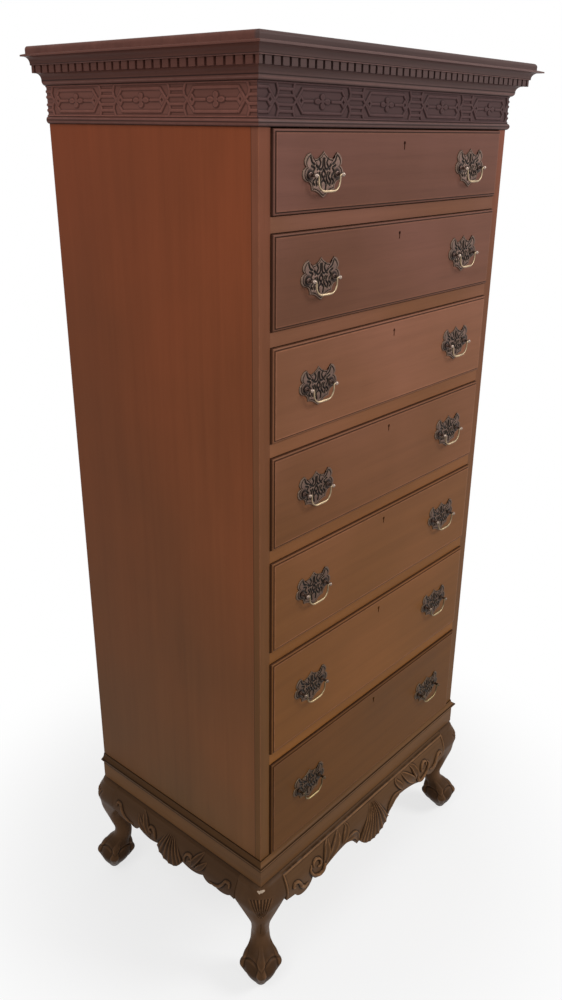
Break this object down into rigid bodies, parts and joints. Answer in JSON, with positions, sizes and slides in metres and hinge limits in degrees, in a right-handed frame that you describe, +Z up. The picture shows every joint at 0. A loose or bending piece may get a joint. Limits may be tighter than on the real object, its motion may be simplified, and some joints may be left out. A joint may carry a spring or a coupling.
{
  "type": "semainier",
  "caption": "Tall narrow chest of graduated drawers with bail pulls, a dentil cornice over a fretted frieze, and a carved stand on cabriole legs with ball-and-claw feet.",
  "frame": {"origin": "on the floor, under the middle of the chest's overall box", "axes": "+Z up, +X to the right along the front, front faces -Y"},
  "size_m": [0.671, 0.4796, 1.5],
  "materials": {
    "mahogany": "satin polish",
    "lining_wood": "bare, planed",
    "aged_brass": "dark patina, edges rubbed",
    "bright_brass": "rubbed bright",
    "lock_steel": "filed, dull"
  },
  "bodies": {
    "case": {"side_panels": "mahogany", "front_stiles": "mahogany", "drawer_rails": "mahogany", "frieze_rail": "mahogany", "drawer_runners": "lining_wood", "dust_panels": "lining_wood", "drawer_stops": "lining_wood", "back_panel": "lining_wood", "bottom_board": "lining_wood", "top_board": "mahogany", "frieze_bead": "mahogany", "frieze_fret": "mahogany", "cornice_molding": "mahogany", "dentil_molding": "mahogany", "waist_molding": "mahogany", "base_frame": "mahogany", "aprons": "mahogany", "legs": "mahogany"},
    "drawer_1": {"drawer_1_front": "mahogany", "drawer_1_box": "lining_wood", "drawer_1_brasses": "aged_brass"},
    "drawer_1_bail_left": {"drawer_1_bail_left": "bright_brass"},
    "drawer_1_bail_right": {"drawer_1_bail_right": "bright_brass"},
    "drawer_1_lock_bolt": {"drawer_1_lock_bolt": "lock_steel"},
    "drawer_2": {"drawer_2_front": "mahogany", "drawer_2_box": "lining_wood", "drawer_2_brasses": "aged_brass"},
    "drawer_2_bail_left": {"drawer_2_bail_left": "bright_brass"},
    "drawer_2_bail_right": {"drawer_2_bail_right": "bright_brass"},
    "drawer_2_lock_bolt": {"drawer_2_lock_bolt": "lock_steel"},
    "drawer_3": {"drawer_3_front": "mahogany", "drawer_3_box": "lining_wood", "drawer_3_brasses": "aged_brass"},
    "drawer_3_bail_left": {"drawer_3_bail_left": "bright_brass"},
    "drawer_3_bail_right": {"drawer_3_bail_right": "bright_brass"},
    "drawer_3_lock_bolt": {"drawer_3_lock_bolt": "lock_steel"},
    "drawer_4": {"drawer_4_front": "mahogany", "drawer_4_box": "lining_wood", "drawer_4_brasses": "aged_brass"},
    "drawer_4_bail_left": {"drawer_4_bail_left": "bright_brass"},
    "drawer_4_bail_right": {"drawer_4_bail_right": "bright_brass"},
    "drawer_4_lock_bolt": {"drawer_4_lock_bolt": "lock_steel"},
    "drawer_5": {"drawer_5_front": "mahogany", "drawer_5_box": "lining_wood", "drawer_5_brasses": "aged_brass"},
    "drawer_5_bail_left": {"drawer_5_bail_left": "bright_brass"},
    "drawer_5_bail_right": {"drawer_5_bail_right": "bright_brass"},
    "drawer_5_lock_bolt": {"drawer_5_lock_bolt": "lock_steel"},
    "drawer_6": {"drawer_6_front": "mahogany", "drawer_6_box": "lining_wood", "drawer_6_brasses": "aged_brass"},
    "drawer_6_bail_left": {"drawer_6_bail_left": "bright_brass"},
    "drawer_6_bail_right": {"drawer_6_bail_right": "bright_brass"},
    "drawer_6_lock_bolt": {"drawer_6_lock_bolt": "lock_steel"},
    "drawer_7": {"drawer_7_front": "mahogany", "drawer_7_box": "lining_wood", "drawer_7_brasses": "aged_brass"},
    "drawer_7_bail_left": {"drawer_7_bail_left": "bright_brass"},
    "drawer_7_bail_right": {"drawer_7_bail_right": "bright_brass"},
    "drawer_7_lock_bolt": {"drawer_7_lock_bolt": "lock_steel"}
  },
  "joints": [
    {"name": "drawer_1_slide", "type": "slide", "parent": "case", "child": "drawer_1", "axis": [0, -1, 0], "range_m": [0, 0.27]},
    {"name": "drawer_1_bail_left_swing", "type": "hinge", "parent": "drawer_1", "child": "drawer_1_bail_left", "pos_m": [-0.1815, -0.21744, 1.34638], "axis": [-1, 0, 0], "range_deg": [-15, 195]},
    {"name": "drawer_1_bail_right_swing", "type": "hinge", "parent": "drawer_1", "child": "drawer_1_bail_right", "pos_m": [0.1815, -0.21744, 1.34638], "axis": [-1, 0, 0], "range_deg": [-15, 195]},
    {"name": "drawer_1_lock_bolt_throw", "type": "slide", "parent": "drawer_1", "child": "drawer_1_lock_bolt", "axis": [0, 0, 1], "range_m": [0, 0.008]},
    {"name": "drawer_2_slide", "type": "slide", "parent": "case", "child": "drawer_2", "axis": [0, -1, 0], "range_m": [0, 0.27]},
    {"name": "drawer_2_bail_left_swing", "type": "hinge", "parent": "drawer_2", "child": "drawer_2_bail_left", "pos_m": [-0.1815, -0.21744, 1.216], "axis": [-1, 0, 0], "range_deg": [-15, 195]},
    {"name": "drawer_2_bail_right_swing", "type": "hinge", "parent": "drawer_2", "child": "drawer_2_bail_right", "pos_m": [0.1815, -0.21744, 1.216], "axis": [-1, 0, 0], "range_deg": [-15, 195]},
    {"name": "drawer_2_lock_bolt_throw", "type": "slide", "parent": "drawer_2", "child": "drawer_2_lock_bolt", "axis": [0, 0, 1], "range_m": [0, 0.008]},
    {"name": "drawer_3_slide", "type": "slide", "parent": "case", "child": "drawer_3", "axis": [0, -1, 0], "range_m": [0, 0.27]},
    {"name": "drawer_3_bail_left_swing", "type": "hinge", "parent": "drawer_3", "child": "drawer_3_bail_left", "pos_m": [-0.1815, -0.21744, 1.06908], "axis": [-1, 0, 0], "range_deg": [-15, 195]},
    {"name": "drawer_3_bail_right_swing", "type": "hinge", "parent": "drawer_3", "child": "drawer_3_bail_right", "pos_m": [0.1815, -0.21744, 1.06908], "axis": [-1, 0, 0], "range_deg": [-15, 195]},
    {"name": "drawer_3_lock_bolt_throw", "type": "slide", "parent": "drawer_3", "child": "drawer_3_lock_bolt", "axis": [0, 0, 1], "range_m": [0, 0.008]},
    {"name": "drawer_4_slide", "type": "slide", "parent": "case", "child": "drawer_4", "axis": [0, -1, 0], "range_m": [0, 0.27]},
    {"name": "drawer_4_bail_left_swing", "type": "hinge", "parent": "drawer_4", "child": "drawer_4_bail_left", "pos_m": [-0.1815, -0.21744, 0.91307], "axis": [-1, 0, 0], "range_deg": [-15, 195]},
    {"name": "drawer_4_bail_right_swing", "type": "hinge", "parent": "drawer_4", "child": "drawer_4_bail_right", "pos_m": [0.1815, -0.21744, 0.91307], "axis": [-1, 0, 0], "range_deg": [-15, 195]},
    {"name": "drawer_4_lock_bolt_throw", "type": "slide", "parent": "drawer_4", "child": "drawer_4_lock_bolt", "axis": [0, 0, 1], "range_m": [0, 0.008]},
    {"name": "drawer_5_slide", "type": "slide", "parent": "case", "child": "drawer_5", "axis": [0, -1, 0], "range_m": [0, 0.27]},
    {"name": "drawer_5_bail_left_swing", "type": "hinge", "parent": "drawer_5", "child": "drawer_5_bail_left", "pos_m": [-0.1815, -0.21744, 0.74835], "axis": [-1, 0, 0], "range_deg": [-15, 195]},
    {"name": "drawer_5_bail_right_swing", "type": "hinge", "parent": "drawer_5", "child": "drawer_5_bail_right", "pos_m": [0.1815, -0.21744, 0.74835], "axis": [-1, 0, 0], "range_deg": [-15, 195]},
    {"name": "drawer_5_lock_bolt_throw", "type": "slide", "parent": "drawer_5", "child": "drawer_5_lock_bolt", "axis": [0, 0, 1], "range_m": [0, 0.008]},
    {"name": "drawer_6_slide", "type": "slide", "parent": "case", "child": "drawer_6", "axis": [0, -1, 0], "range_m": [0, 0.27]},
    {"name": "drawer_6_bail_left_swing", "type": "hinge", "parent": "drawer_6", "child": "drawer_6_bail_left", "pos_m": [-0.1815, -0.21744, 0.5691], "axis": [-1, 0, 0], "range_deg": [-15, 195]},
    {"name": "drawer_6_bail_right_swing", "type": "hinge", "parent": "drawer_6", "child": "drawer_6_bail_right", "pos_m": [0.1815, -0.21744, 0.5691], "axis": [-1, 0, 0], "range_deg": [-15, 195]},
    {"name": "drawer_6_lock_bolt_throw", "type": "slide", "parent": "drawer_6", "child": "drawer_6_lock_bolt", "axis": [0, 0, 1], "range_m": [0, 0.008]},
    {"name": "drawer_7_slide", "type": "slide", "parent": "case", "child": "drawer_7", "axis": [0, -1, 0], "range_m": [0, 0.27]},
    {"name": "drawer_7_bail_left_swing", "type": "hinge", "parent": "drawer_7", "child": "drawer_7_bail_left", "pos_m": [-0.1815, -0.21744, 0.37285], "axis": [-1, 0, 0], "range_deg": [-15, 195]},
    {"name": "drawer_7_bail_right_swing", "type": "hinge", "parent": "drawer_7", "child": "drawer_7_bail_right", "pos_m": [0.1815, -0.21744, 0.37285], "axis": [-1, 0, 0], "range_deg": [-15, 195]},
    {"name": "drawer_7_lock_bolt_throw", "type": "slide", "parent": "drawer_7", "child": "drawer_7_lock_bolt", "axis": [0, 0, 1], "range_m": [0, 0.008]}
  ]
}
